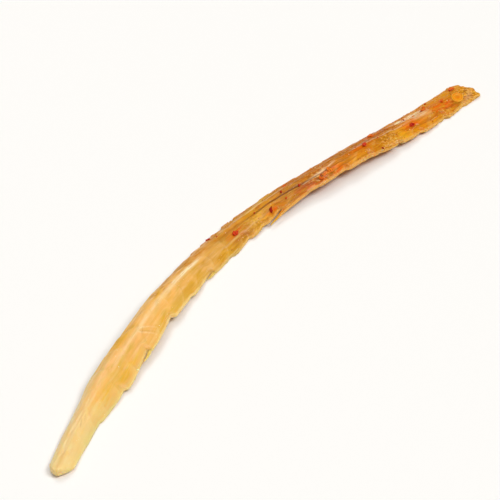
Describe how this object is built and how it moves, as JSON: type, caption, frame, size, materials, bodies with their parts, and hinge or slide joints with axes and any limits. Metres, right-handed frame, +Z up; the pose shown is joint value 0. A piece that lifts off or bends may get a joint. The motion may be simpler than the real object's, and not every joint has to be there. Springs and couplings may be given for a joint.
{
  "type": "dried cod strip",
  "caption": "Long, thin, translucent amber strip of dried cod flesh, bowed sideways, with one torn edge and crushed chilli stuck to the darker end.",
  "frame": {"origin": "on the table, under the middle of the strip's bounding box", "axes": "+X along the strip, from its pale end to its seasoned end; +Y towards the cut edge, the outer side of the bow; +Z up, with the strip lying on its underside"},
  "size_m": [0.1894, 0.0272, 0.0054],
  "materials": {
    "dried_flesh": "satin, translucent",
    "crushed_chilli": "satin",
    "chilli_seed": "satin"
  },
  "bodies": {
    "root": {"cod_strip": "dried_flesh"}
  },
  "joints": []
}
